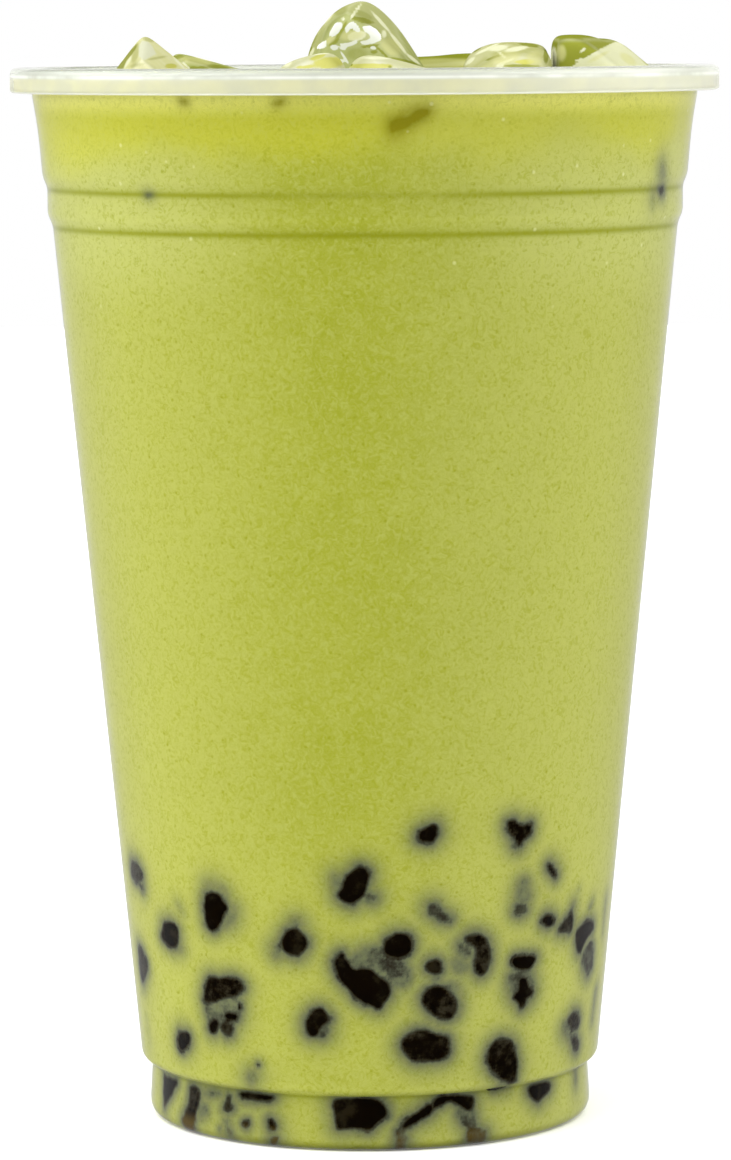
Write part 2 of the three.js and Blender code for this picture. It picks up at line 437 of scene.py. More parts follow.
def distance_to(outline, across, up):
    nearest = np.full(len(across), np.inf)
    inside = np.zeros(len(across), bool)
    for (x, y), (next_x, next_y) in zip(outline, np.roll(outline, -1, axis=0)):
        edge_x, edge_y = next_x - x, next_y - y + NOT_LEVEL
        part = ((across - x) * edge_x + (up - y) * edge_y) / (edge_x ** 2 + edge_y ** 2)
        part = np.clip(part, 0, 1)
        nearest = np.minimum(nearest, np.hypot(across - x - part * edge_x, up - y - part * edge_y))
        crosses = (y > up) != (next_y > up)
        inside ^= crosses & (across < x + (up - y) / edge_y * edge_x)
    return np.where(inside, -nearest, nearest)


def seen_at(points):
    local = (points - np.array(EYE)) @ np.array(tilt.to_3x3())
    across = PHOTO_WIDTH / 2 - FOCAL_PIXELS * local[:, 0] / local[:, 2]
    down = PHOTO_HEIGHT / 2 + FOCAL_PIXELS * local[:, 1] / local[:, 2]
    return across, down


def in_round_mark(pixel_x, pixel_y, x, y, half_length, half_width, slant):
    turn = math.radians(slant)
    along = (pixel_x - x) * math.cos(turn) - (pixel_y - y) * math.sin(turn)
    aside = (pixel_x - x) * math.sin(turn) + (pixel_y - y) * math.cos(turn)
    return np.clip((ROUND_REACH - np.hypot(along / half_length, aside / half_width)) / ROUND_SOFT, 0, 1)


def in_corners(pixel_x, pixel_y, *corners):
    return np.clip(CORNER_REACH - distance_to(np.array(corners), pixel_x, pixel_y) / SOFT_PIXELS, 0, 1)


for node, piece in ice_pieces.items():
    pixels = seen_at(ice_shapes[node])
    normals = np.zeros(len(piece.data.vertices) * 3, np.float32)
    piece.data.vertices.foreach_get("normal", normals)
    forward = np.clip((FORWARD_SOFT - normals[1::3]) / FORWARD_SOFT, 0, 1)
    # How far a point faces the lamps, for the painted shade in the finish.
    store(piece, "lamp_facing", np.clip(np.abs(normals[0::3]) * LAMP_FACING_WEIGHT + normals[2::3] * LAMP_FACING_WEIGHT, 0, 1))
    for kind in MARK_KINDS:
        mark = np.zeros(len(forward))
        for spot in ICE_MARKS.get(node, {}).get(kind, []):
            within = in_corners if isinstance(spot[0], tuple) else in_round_mark
            mark = np.maximum(mark, within(*pixels, *spot))
        store(piece, kind, mark if kind == "window" else mark * forward)
print(f"{sum(len(marks) for kinds in ICE_MARKS.values() for marks in kinds.values())} marks on the ice")

# %% [markdown]
# The drink fills the cup and reaches a little way into the wall, so that no film of air shows between
# them: a ray that enters the plastic meets milk. Its points are close together low down, where pearls show
# through it, near the rim, and most of all in the middle of the front. At the wall the milk creeps up a
# little, as any wet liquid does.

# %% The drink before it is cut
BITE = 0.2
FRONT_SEGMENTS, BACK_SEGMENTS = 242, 106
BUNCHING = 0.25
FRONT_HALF = math.radians(95)
CREEP_HEIGHT, CREEP_WIDTH = 0.5, 0.6
PEARL_ZONE, RING_ZONE = 54, 123
FINE, MIDDLING, COARSE = 0.46, 0.6, 6
BASE_RADIUS, BASE_STEP = 24, 1.6
BRIM_STEPS = np.geomspace(0.2, 3, 7)
TOP_START, TOP_STEP = 5, 3.2
TAPER = 5


def with_spacing(line, spacing):
    points = [line[0]]
    for start, end in zip(line, line[1:]):
        pieces = max(1, math.ceil(np.linalg.norm(end - start) / spacing(start, end)))
        points += [start + (end - start) * (i + 1) / pieces for i in range(pieces)]
    return np.array(points)


def side_spacing(start, end):
    low = min(start[1], end[1])
    if start[0] < BASE_RADIUS:
        return BASE_STEP
    if low < PEARL_ZONE:
        return FINE
    return MIDDLING if low > RING_ZONE else COARSE


drink_corners = moved_inward(WALL_OUTLINE, WALL - BITE)
taper_low, taper_high = drink_corners[TAPER:TAPER + 2]
split = (PEARL_ZONE - taper_low[1]) / (taper_high[1] - taper_low[1])
zone_corner = (taper_low[0] + (taper_high[0] - taper_low[0]) * split, PEARL_ZONE, 0)
drink_corners.insert(TAPER + 1, zone_corner)
drink_corners[-1] = (drink_corners[-1][0], DRINK_LEVEL + CREEP_HEIGHT, 0)
side_line = with_spacing(rounded(drink_corners), side_spacing)
edge_radius = side_line[-1, 0]
inward_steps = np.concatenate([BRIM_STEPS, np.arange(TOP_START, edge_radius, TOP_STEP)])
top_line = [
    (edge_radius - step, DRINK_LEVEL + CREEP_HEIGHT * math.exp(-step / CREEP_WIDTH))
    for step in inward_steps
]
drink_outline = np.vstack([side_line, top_line, [(0, DRINK_LEVEL)]])
even = np.linspace(-1, 1, FRONT_SEGMENTS, endpoint=False)
front_angles = FRONT_HALF * (even * (1 - BUNCHING) + BUNCHING * even ** 3)
back_angles = np.linspace(FRONT_HALF, 2 * math.pi - FRONT_HALF, BACK_SEGMENTS, endpoint=False)
drink_angles = np.concatenate([front_angles, back_angles]) - math.pi / 2
milk = new_piece("matcha_milk", *turned(drink_outline, drink_angles))
print(f"drink before cutting: {len(milk.data.polygons)} faces")

# %% [markdown]
# The milk is cut round each piece of ice. The cutter is a hair smaller than the ice, so that milk and ice
# overlap by that hair and no gap shows. A Boolean modifier makes a clean waterline, and it is applied at
# once.

# %% Cut the drink round the ice
ICE_BITE = 0.12


def apply_modifiers(piece):
    bpy.context.view_layer.update()
    evaluated = piece.evaluated_get(bpy.context.evaluated_depsgraph_get())
    finished = bpy.data.meshes.new_from_object(evaluated)
    piece.modifiers.clear()
    piece.data = finished


cutter_points, cutter_faces = [], []
for number, (node, points) in enumerate(ice_holes.items()):
    middle = np.array(ICE_BLOCKS[node][0])
    away = points - middle
    cutter_points.append(middle + away * (1 - ICE_BITE / np.linalg.norm(away, axis=1))[:, None])
    cutter_faces += [[number * len(points) + index for index in face] for face in hole_faces]
cutter = new_piece("cutter", np.vstack(cutter_points), cutter_faces)
cut = milk.modifiers.new("room for the ice", "BOOLEAN")
cut.operation = "DIFFERENCE"
cut.solver = "EXACT"
cut.object = cutter
apply_modifiers(milk)
bpy.data.objects.remove(cutter)
milk.data.shade_smooth()
milk.data.set_sharp_from_angle(angle=math.radians(CREASE_ANGLE))
print(f"drink after cutting: {len(milk.data.polygons)} faces")

# %% [markdown]
# The pearls are soft balls of tapioca, about eight millimetres across, that sank to the bottom third.
# Where one is pressed against the wall, it squeezes the milk away and shows as a bare dark patch. A thin
# film of milk makes it grey. The list has a line for each patch of the front, pearl by pearl, as the
# photograph shows it: the film left over it in millimetres, then the pixels of the corners of its
# outline.

# %% Where the pearls show at the front
BARE, THIN, HAZY, FAINT = 0, 0.05, 0.16, 0.31
PEARL_PATCHES = [
    [
        (0.05, [(133, 860), (137, 861), (142, 866), (146, 876), (142, 882), (137, 881), (133, 874)]),
        (0.22, [(140, 882), (147, 880), (146, 892), (143, 890)]),
    ],
    [
        (BARE, [(206, 894), (212, 892), (220, 894), (224, 902), (229, 908), (224, 912), (222, 920),
                (218, 928), (212, 931), (208, 924), (206, 912)]),
        (0.35, [(204, 882), (214, 880), (224, 885), (230, 894), (229, 902), (220, 892), (206, 892)]),
        (FAINT, [(229, 904), (238, 904), (238, 920), (230, 928), (222, 930), (224, 920)]),
    ],
    [
        (BARE, [(165, 923), (174, 922), (179, 928), (180, 938), (177, 948), (172, 945), (163, 938),
                (164, 930)]),
        (FAINT, [(180, 940), (186, 948), (182, 954), (177, 949)]),
    ],
    [(0.5, [(177, 903), (180, 902), (185, 913), (183, 915)])],
    [
        (0.04, [(140, 946), (143, 946), (148, 958), (150, 968), (147, 978), (142, 984), (140, 972),
                (139, 958)]),
    ],
    [
        (BARE, [(294, 928), (298, 928), (306, 938), (307, 944), (303, 952), (298, 956), (290, 954),
                (283, 948), (283, 938), (288, 931)]),
        (0.18, [(292, 921), (300, 919), (304, 928), (288, 930)]),
        (0.2, [(273, 945), (282, 940), (284, 953), (278, 958), (274, 955)]),
    ],
    [
        (BARE, [(355, 868), (366, 867), (369, 876), (366, 888), (361, 898), (350, 904), (340, 898),
                (338, 894), (344, 886), (346, 878)]),
        (FAINT, [(333, 872), (346, 874), (342, 886), (336, 894), (331, 884)]),
        (0.17, [(368, 890), (377, 894), (377, 900), (370, 904), (362, 900)]),
        (0.2, [(346, 902), (362, 902), (356, 908), (348, 907)]),
    ],
    [
        (0.02, [(208, 981), (212, 976), (220, 979), (228, 977), (236, 978), (242, 982), (245, 988),
                (240, 994), (232, 997), (222, 998), (216, 1002), (206, 1003), (205, 996), (207, 988)]),
        (BARE, [(238, 1002), (242, 1004), (243, 1010), (239, 1010)]),
        (BARE, [(226, 1013), (238, 1014), (237, 1020), (230, 1019), (226, 1017)]),
        (BARE, [(215, 1018), (220, 1022), (218, 1032), (212, 1033), (210, 1026)]),
        (THIN, [(227, 1019), (233, 1024), (234, 1032), (228, 1037), (221, 1030), (222, 1024)]),
        (0.22, [(205, 998), (243, 995), (244, 1014), (234, 1034), (212, 1032), (206, 1014)]),
    ],
    [(BARE, [(180, 1033), (187, 1031), (192, 1036), (190, 1044), (185, 1050), (180, 1047)])],
    [
        (BARE, [(306, 1022), (312, 1012), (320, 1007), (328, 1014), (330, 1021), (322, 1024), (318, 1034),
                (312, 1036), (307, 1031)]),
        (0.17, [(322, 1024), (330, 1022), (330, 1034), (320, 1040), (314, 1037)]),
    ],
    [
        (0.04, [(256.5, 1062), (261.5, 1062.5), (261, 1068), (257.5, 1067.5)]),
        (0.4, [(248, 1068), (258, 1068), (260, 1078), (254, 1087), (245, 1080)]),
    ],
    [
        (BARE, [(386, 940), (396, 934), (406, 934), (411, 940), (411, 949), (407, 955), (397, 957),
                (386, 954), (384, 949)]),
    ],
    [
        (BARE, [(334, 961), (343, 951), (346, 960), (354, 971), (362, 968), (372, 970), (380, 978),
                (389, 984), (390, 994), (384, 1002), (380, 1009), (372, 1005), (360, 1000), (350, 990),
                (342, 980), (337, 970)]),
        (HAZY, [(367, 948), (382, 945), (384, 955), (374, 958)]),
        (0.22, [(347, 958), (366, 944), (386, 956), (392, 966), (380, 976), (362, 966), (352, 968)]),
        (0.25, [(386, 956), (404, 962), (413, 968), (410, 984), (396, 990), (384, 978)]),
    ],
    [
        (BARE, [(430, 825), (436, 824), (437, 831), (435, 838), (431, 842), (420, 840), (418, 837),
                (421, 831)]),
        (0.26, [(432, 820), (439, 821), (440, 832), (436, 824)]),
    ],
    [
        (0.02, [(505, 822), (514, 819), (517, 824), (520, 826), (530, 822), (531, 830), (529, 835),
                (522, 838), (520, 845), (516, 846), (515, 838), (509, 835)]),
        (0.18, [(508, 838), (526, 838), (521, 850), (513, 850)]),
    ],
    [
        (0.1, [(426, 905), (434, 901), (438, 908), (444, 913), (451, 917), (450, 922), (442, 922),
               (434, 917), (428, 914)]),
        (0.04, [(434, 909), (437, 909), (443, 915), (440, 917)]),
    ],
    [
        (0.1, [(514, 904), (520, 902), (527, 903), (527, 913), (520, 916), (513, 913)]),
        (0.2, [(519, 880), (526, 878), (530, 890), (529, 902), (514, 902), (517, 888)]),
    ],
    [(0.03, [(546, 864), (549, 863), (554, 869), (556, 877), (552, 876), (547, 869)])],
    [(0.02, [(539, 920), (547, 913), (554, 920), (547, 928)])],
    [
        (0.03, [(556, 929), (564, 920), (570, 912), (572, 920), (570, 933), (562, 931), (558, 932)]),
        (0.26, [(570, 903), (574, 900), (573, 914), (569, 912)]),
        (0.5, [(575, 889), (579, 886), (578, 892), (576, 892)]),
    ],
    [
        (BARE, [(575, 930), (582, 924), (590, 920), (592, 928), (584, 938), (580, 948), (577, 954),
                (574, 940)]),
        (0.12, [(580, 950), (591, 938), (592, 962), (586, 979), (581, 970)]),
        (FAINT, [(586, 909), (592, 897), (590, 909)]),
    ],
    [(0.5, [(603, 896), (606, 896), (604, 920), (601, 938), (601, 918)])],
    [
        (0.03, [(463, 938), (470, 934), (480, 934), (488, 941), (490, 952), (489, 964), (486, 972),
                (480, 976), (475, 972), (474, 960), (475, 950), (472, 944), (466, 943)]),
        (HAZY, [(458, 940), (472, 945), (472, 954), (468, 958), (460, 954), (456, 948)]),
        (0.38, [(446, 955), (472, 956), (472, 972), (452, 976)]),
    ],
    [
        (BARE, [(424, 967), (430, 960), (438, 960), (442, 968), (439, 974), (430, 973)]),
        (HAZY, [(428, 972), (441, 972), (440, 981), (432, 983)]),
    ],
    [
        (0.02, [(421, 999), (426, 990), (434, 986), (440, 985), (452, 994), (457, 1002), (456, 1012),
                (450, 1019), (440, 1020), (430, 1013), (424, 1006)]),
        (FAINT, [(440, 981), (458, 982), (462, 996), (456, 1000)]),
    ],
    [
        (BARE, [(512, 960), (514, 957), (526, 956), (536, 957), (530, 966), (524, 970), (518, 968),
                (512, 964)]),
        (BARE, [(518, 978), (526, 978), (527, 986), (533, 990), (530, 995), (525, 998), (523, 1007),
                (519, 1008), (518, 1000), (511, 998), (516, 993), (519, 988)]),
        (0.15, [(508, 970), (534, 970), (535, 994), (524, 1010), (510, 1000), (506, 984)]),
    ],
    [
        (0.02, [(402, 1040), (412, 1031), (424, 1029), (436, 1035), (446, 1036), (449, 1042), (449, 1052),
                (444, 1058), (434, 1061), (420, 1062), (408, 1058), (401, 1048)]),
        (BARE, [(420, 1038), (440, 1038), (448, 1046), (440, 1058), (422, 1060), (416, 1050)]),
    ],
    [
        (0.02, [(486, 1054), (492, 1042), (500, 1037), (511, 1039), (514, 1050), (517, 1064), (515, 1074),
                (511, 1082), (506, 1082), (498, 1076), (488, 1066)]),
        (HAZY, [(511, 1080), (508, 1087), (493, 1091), (491, 1089), (504, 1082)]),
    ],
    [
        (0.04, [(568, 1016), (572, 1011), (577, 1014), (577, 1026), (572, 1030), (566, 1024)]),
        (0.04, [(569, 1036), (574, 1036), (578, 1042), (575, 1053), (570, 1044)]),
        (0.22, [(560, 1024), (566, 1018), (569, 1030), (571, 1036), (569, 1042), (560, 1036)]),
    ],
    [(0.2, [(594.5, 990), (597, 990), (596, 1008), (592, 1024), (592, 1006)])],
    [(0.9, [(143, 1018), (145, 1022), (148, 1038), (147, 1044), (145, 1034)])],
    [
        (BARE, [(158, 1074), (168, 1077), (180, 1081), (177, 1085), (174, 1092), (168, 1102), (163, 1107),
                (160, 1102), (158, 1088)]),
    ],
    [
        (0.03, [(192, 1085), (202, 1088), (201, 1100), (197, 1112), (196, 1126), (193, 1131), (187, 1124),
                (185, 1118), (189, 1108), (191, 1098)]),
        (0.22, [(201, 1098), (209, 1106), (209, 1114), (198, 1120)]),
        (0.22, [(202, 1088), (224, 1092), (224, 1097), (204, 1099)]),
    ],
    [
        (0.05, [(228, 1095), (232, 1096), (231, 1102), (235, 1108), (229, 1113), (223, 1109),
                (226, 1102)]),
        (HAZY, [(226, 1117), (230, 1118), (231, 1126), (236, 1134), (232, 1137), (227, 1130)]),
        (0.18, [(221, 1124), (224, 1128), (222, 1132), (219, 1129)]),
    ],
    [(0.05, [(243, 1120), (250, 1119), (250, 1125), (246, 1129), (242, 1124)])],
    [
        (0.02, [(268, 1117), (275, 1120), (277, 1128), (274, 1131), (270, 1128)]),
        (0.06, [(271, 1136), (281, 1136), (278, 1143), (272, 1142)]),
        (0.22, [(272, 1128), (280, 1132), (278, 1138), (272, 1137)]),
    ],
    [(BARE, [(239, 1093), (250, 1092), (270, 1096), (274, 1097), (269, 1099.5), (246, 1099)])],
    [
        (BARE, [(333, 1100), (340, 1098), (378, 1098), (387, 1109), (386, 1116), (378, 1120), (370, 1130),
                (362, 1128), (352, 1127), (338, 1130), (336, 1120)]),
    ],
    [
        (BARE, [(431, 1104), (433, 1109), (428, 1115), (418, 1120), (408, 1126), (402, 1130), (403, 1124),
                (412, 1116), (420, 1111), (426, 1106)]),
        (0.14, [(397, 1128), (405, 1128), (407, 1140), (405, 1147), (394, 1147), (396, 1136)]),
    ],
    [
        (BARE, [(436, 1098), (446, 1096), (470, 1095), (474, 1100), (472, 1108), (466, 1110), (460, 1104),
                (448, 1100), (440, 1104), (434, 1108), (432, 1104)]),
        (0.18, [(455, 1106), (475, 1106), (476, 1124), (480, 1126), (468, 1130), (458, 1122)]),
        (0.14, [(466, 1130), (484, 1126), (485, 1136), (480, 1141), (466, 1140)]),
    ],
    [(BARE, [(525, 1088), (540, 1083), (549, 1082), (548, 1090), (540, 1098), (537, 1102), (532, 1098)])],
    [(0.14, [(574, 1072), (579, 1071), (580, 1080), (577, 1085), (575, 1078)])],
    [(0.12, [(147, 194.5), (150, 193.5), (153, 194.5), (150, 196)])],
    [
        (0.35, [(657, 166), (660, 160), (663, 168), (661, 182), (657, 180)]),
        (0.1, [(656, 187), (660, 186), (662, 192), (658, 194)]),
        (0.5, [(650, 190), (654, 189), (652, 204), (650, 205)]),
    ],
]
print(f"{sum(map(len, PEARL_PATCHES))} patches drawn")

# %% [markdown]
# A pixel only says in which direction a corner lies. We walk along its line of sight until it meets the
# milk, and that is the corner's place on the wall. Then the outlines lose their corners: cutting each one
# off twice makes them round.

# %% Put the patches on the wall
FOOT_RADIUS = 29.2
SIGHT_DEPTH, SIGHT_STEPS = 60, 2401
CUT = 0.25
side_points = side_line[side_line[:, 0] > FOOT_RADIUS]
side_points = side_points[np.argsort(side_points[:, 1])]


def wall_radius(height):
    return np.interp(height, side_points[:, 1], side_points[:, 0])


def on_the_wall(pixel_x, pixel_y):
    steps = np.linspace(-EYE.y - SIGHT_DEPTH, -EYE.y, SIGHT_STEPS)[:, None]
    points = np.array(EYE) + line_of_sight(pixel_x, pixel_y) * steps
    gap = np.hypot(points[:, 0], points[:, 1]) - wall_radius(points[:, 2])
    return points[np.argmax(gap < 0)] if (gap < 0).any() else points[np.argmin(gap)]


def without_corners(corners, times=2):
    for _ in range(times):
        after = np.roll(corners, -1, axis=0)
        pairs = [corners * (1 - CUT) + after * CUT, corners * CUT + after * (1 - CUT)]
        corners = np.stack(pairs, axis=1).reshape(-1, 3)
    return corners


def patch_from_photo(film, corners):
    return film, without_corners(np.array([on_the_wall(*corner) for corner in corners]))


pearls_on_wall = [[patch_from_photo(*patch) for patch in pearl] for pearl in PEARL_PATCHES]
print(f"{len(pearls_on_wall)} pearls at the front")

# %% [markdown]
# The photograph doesn't show the back or the underside, so there the pearls are strewn by chance, about as
# many and as large as at the front. A new one is only taken if it keeps clear of those already lying
# there.

# %% Where the pearls lie elsewhere
BACK_TRIES, BASE_TRIES = 900, 400
PEARL_GAP = 9.0
FRONT_ANGLE = 100
BASE_HEIGHT = BASE_LIFT + WALL - BITE
LOWEST_TOUCH, PILE_HEIGHT, SINKING = 3, 46, 1.6
BASE_SPREAD = 20
STREWN_CORNERS = 8
STREWN_REACH, STREWN_ROUGH = (0.9, 2.5), (0.7, 1.2)
DRIFT, DRIFT_WITH_FILM = 1, 4


def middle_of(pearl):
    return np.vstack([corners for _, corners in pearl]).mean(axis=0)


def strewn(point, along, up):
    patches = []
    for film in [BARE] * dice.integers(1, 4) + [HAZY, FAINT]:
        drift = DRIFT + film * DRIFT_WITH_FILM
        middle = point + along * dice.normal(0, drift) + up * dice.normal(0, drift)
        turns = np.sort(dice.uniform(0, 2 * math.pi, STREWN_CORNERS))
        reach = dice.uniform(*STREWN_REACH) * dice.uniform(*STREWN_ROUGH, STREWN_CORNERS)
        corners = middle + np.outer(reach * np.cos(turns), along) + np.outer(reach * np.sin(turns), up)
        patches.append((film, without_corners(corners)))
    return patches


def has_room(point):
    lying = pearls_on_wall + pearls_on_base
    return all(np.linalg.norm(point - middle_of(pearl)) > PEARL_GAP for pearl in lying)


pearls_on_base = []
for _ in range(BACK_TRIES):
    angle = math.radians(dice.uniform(FRONT_ANGLE, 360 - FRONT_ANGLE))
    height = LOWEST_TOUCH + PILE_HEIGHT * dice.uniform() ** SINKING
    outward = np.array([math.sin(angle), -math.cos(angle), 0])
    point = outward * wall_radius(height) + np.array([0, 0, height])
    if has_room(point):
        pearls_on_wall.append(strewn(point, np.array([-outward[1], outward[0], 0]), np.array([0, 0, 1])))
for _ in range(BASE_TRIES):
    angle, radius = dice.uniform(0, 2 * math.pi), BASE_SPREAD * math.sqrt(dice.uniform())
    point = np.array([radius * math.cos(angle), radius * math.sin(angle), BASE_HEIGHT])
    if has_room(point):
        pearls_on_base.append(strewn(point, np.array([1, 0, 0]), np.array([0, 1, 0])))
print(f"{len(pearls_on_wall)} pearls against the wall, {len(pearls_on_base)} on the base")

# %% [markdown]
# Each pearl is a ball with a few slow bumps, and it is pressed flat where it would stand out of the milk.
# One that has a close neighbour is smaller, so that no two run far into each other.

# %% The pearls
PEARL_RADIUS = (3.6, 4.4)
SMALLEST_PEARL = 1.2
SHARE_OF_GAP = 0.52
FLATTENED = 0.3
LOWEST_MIDDLE, SAG = 0.6, 0.85
BASE_EDGE = 25.5
PRESS = 0.08
BUMPS = 0.04

ball = bmesh.new()
bmesh.ops.create_icosphere(ball, subdivisions=3, radius=1)
ball_points = np.array([vertex.co for vertex in ball.verts])
ball_faces = [[vertex.index for vertex in face.verts] for face in ball.faces]
ball.free()

touch = np.array([middle_of(pearl) for pearl in pearls_on_wall + pearls_on_base])
apart = np.linalg.norm(touch[:, None] - touch[None], axis=2)
np.fill_diagonal(apart, np.inf)
room = np.clip(apart.min(axis=1) * SHARE_OF_GAP, SMALLEST_PEARL, PEARL_RADIUS[1])
pearl_radii = np.minimum(dice.uniform(*PEARL_RADIUS, len(touch)), room)
pearl_points, pearl_faces = [], []
for i, point in enumerate(touch):
    radius = pearl_radii[i]
    outward = np.array([point[0], point[1], 0]) / math.hypot(point[0], point[1])
    if i >= len(pearls_on_wall):
        outward = np.array([0, 0, -1.0])
    middle = point - outward * (radius - FLATTENED)
    middle[2] = max(middle[2], LOWEST_MIDDLE + radius * SAG)
    points = middle + ball_points * (radius * (1 + BUMPS * waves(ball_points, pitch=3)))[:, None]
    around = np.hypot(points[:, 0], points[:, 1])
    points[:, :2] *= np.minimum(1, (wall_radius(points[:, 2]) - PRESS) / around)[:, None]
    lowest = np.where(around < BASE_EDGE, BASE_HEIGHT, WALL - BITE) + PRESS
    points[:, 2] = np.maximum(points[:, 2], lowest)
    pearl_points.append(points)
    pearl_faces += [[i * len(ball_points) + index for index in face] for face in ball_faces]
pearls = new_piece("tapioca_pearls", np.vstack(pearl_points), pearl_faces)
print(f"{len(touch)} pearls, {2 * pearl_radii.min():.1f} to {2 * pearl_radii.max():.1f} mm across")

# %% [markdown]
# How grey the milk looks depends on how thick it is over the nearest pearl. Cycles could work that out by
# scattering light in the milk, slowly and with noise. Here the milk is opaque instead, and hides the
# pearls inside it. Each point of the milk stores a film, worked out from the outlines of the patches, and
# the finish turns the film into colour from any side. Inside an outline the film is the one given. Outside
# it grows along the curve of a ball that is pressed flat there, and a crumb that is narrower than a whole
# ball curves away faster.

# %% Measure the milk over the pearls
MOST_FILM = 9.0
FAR = 14.0
BALL_CURVE = 3.8
FLAT_PART = 1.1
WHOLE_BALL = 1.8
SOFT_EDGE = 0.2
SOFTER = 0.8
INSIDE_SLOPE = 0.3
SHOULDER = 7.95


def unrolled(points, middle):
    radius = math.hypot(middle[0], middle[1])
    if radius < BASE_EDGE and middle[2] < BASE_HEIGHT + PRESS:
        return points[:, 0] - middle[0], points[:, 1] - middle[1]
    turn = np.arctan2(points[:, 1], points[:, 0]) - math.atan2(middle[1], middle[0])
    return ((turn + math.pi) % (2 * math.pi) - math.pi) * radius, points[:, 2] - middle[2]


def film_over(patches, points):
    film = np.full(len(points), MOST_FILM)
    for cover, corners in patches:
        middle = corners.mean(axis=0)
        near = np.flatnonzero(np.linalg.norm(points - middle, axis=1) < FAR)
        near = near[(points[near, 2] > SHOULDER) == (middle[2] > SHOULDER)]
        outline = np.stack(unrolled(corners, middle), axis=1)
        distance = distance_to(outline, *unrolled(points[near], middle))
        distance += SOFT_EDGE + SOFTER * cover
        outside = np.maximum(distance, 0)
        curve = BALL_CURVE * min(1, np.ptp(outline, axis=0).max() / WHOLE_BALL)
        value = cover + (outside ** 2 + 2 * FLAT_PART * outside) / (2 * curve)
        if cover == BARE:
            value += INSIDE_SLOPE * np.minimum(distance, 0)
        film[near] = np.minimum(film[near], value)
    return film


milk_points = np.zeros(len(milk.data.vertices) * 3, np.float32)
milk.data.vertices.foreach_get("co", milk_points)
milk_points = milk_points.reshape(-1, 3) / MM
all_patches = [patch for pearl in pearls_on_wall + pearls_on_base for patch in pearl]
pearl_film = film_over(all_patches, milk_points)
store(milk, "pearl_film", pearl_film)
print(f"{(pearl_film < 0.5).mean():.1%} of the milk's points have a pearl within half a millimetre")

# %% [markdown]
# A few chips of ice have sunk close behind the wall and look like olive shadows. They are made like the
# ice on top, only smaller. The shadow on the milk is measured as for the pearls, from its outline in the
# photograph.

# %% The sunk ice
CHIP_PATCHES = [
    (BARE, [(389, 122), (396, 118), (408, 117), (412, 112), (424, 107), (430, 109), (430, 113), (421, 120),
            (409, 126), (400, 130), (392, 134), (389, 128)]),
    (0.14, [(384, 123), (390, 115), (400, 112), (412, 106), (426, 104), (435, 110), (431, 116), (418, 124),
            (405, 132), (403, 137), (391, 139), (386, 134)]),
    (0.05, [(179, 99), (186, 98), (189, 102), (186, 105), (181, 104)]),
    (0.05, [(274, 102), (281, 99), (285, 101), (282, 105), (275, 106)]),
]
SUNK_CHIPS = [
    ((409, 121), (3.3, 1.5, 1.6), 27),
    ((183, 99), (1.2, 0.9, 0.8), 5),
    ((278, 102), (1.0, 0.8, 0.6), -5),
]
CHIP_SPLITS = 14
CHIP_SHARPNESS = 5
CHIP_MILK = 0.5

chip_directions, chip_faces = block_grid(CHIP_SPLITS)
sunk_points, sunk_faces = [], []
for number, (pixel, half, slant) in enumerate(SUNK_CHIPS):
    point = on_the_wall(*pixel)
    outward = np.array([point[0], point[1], 0]) / math.hypot(point[0], point[1])
    facing = math.degrees(math.atan2(point[0], -point[1]))
    reach = melted(chip_directions, half, (0, 0, 0), CHIP_SHARPNESS, [])[0]
    reach = reach * (1 + ICE_WAVE * waves(chip_directions))
    turn = turn_of((0, 0, facing)) @ turn_of((0, -slant, 0))
    middle = point - outward * (half[1] + CHIP_MILK)
    sunk_points.append((chip_directions * reach[:, None]) @ turn.T + middle)
    sunk_faces += [[number * len(chip_directions) + index for index in face] for face in chip_faces]
sunk_ice = new_piece("sunk_ice", np.vstack(sunk_points), sunk_faces)
chips_on_wall = [patch_from_photo(*patch) for patch in CHIP_PATCHES]
store(milk, "chip_film", film_over(chips_on_wall, milk_points))
print(f"{len(SUNK_CHIPS)} sunk chips of ice")

# %% [markdown]
# Meltwater thins the milk next to the ice, so it is paler there. Each point of the milk near the top
# stores how far it is from the ice.

# %% Measure the way to the ice
ice_tree = KDTree(sum(len(points) for points in ice_shapes.values()))
for i, point in enumerate(np.vstack(list(ice_shapes.values()))):
    ice_tree.insert(point, i)
ice_tree.balance()
from_ice = np.full(len(milk_points), MOST_FILM)
for i in np.flatnonzero(milk_points[:, 2] > RING_ZONE):
    from_ice[i] = min(ice_tree.find(milk_points[i])[2], MOST_FILM)
store(milk, "from_ice", from_ice)
print(f"{(from_ice < 0.5).sum()} points of the milk touch the ice")

# %% [markdown]
# Shader maths reads best as plain sums, so one small class wraps a socket. Adding or multiplying two of
# them adds a Math node, and add() makes any other node from its type, its settings and what goes into its
# sockets.

